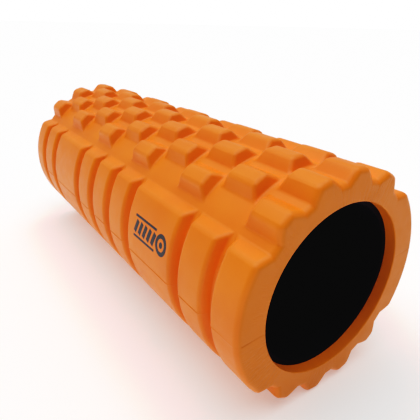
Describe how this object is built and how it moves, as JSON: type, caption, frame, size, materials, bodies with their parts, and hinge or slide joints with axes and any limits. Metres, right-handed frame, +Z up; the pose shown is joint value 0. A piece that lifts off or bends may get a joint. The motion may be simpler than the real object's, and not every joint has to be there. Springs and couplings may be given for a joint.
{
  "type": "foam roller",
  "caption": "Textured massage roller with a moulded foam sleeve, raised bands on two sides and staggered blocks between them, on a hollow rigid core tube",
  "frame": {"origin": "On the roller's axis, half way between the two end faces of the foam", "axes": "+X runs along the roller's axis towards the end that faces the viewer in the picture. +Z is up with the roller lying on two rows of blocks. The raised bands face -Y and +Y."},
  "size_m": [0.342, 0.14, 0.14],
  "materials": {
    "foam": "satin",
    "core": "matte"
  },
  "bodies": {
    "root": {"foam_sleeve": "foam", "core_tube": "core"}
  },
  "joints": []
}
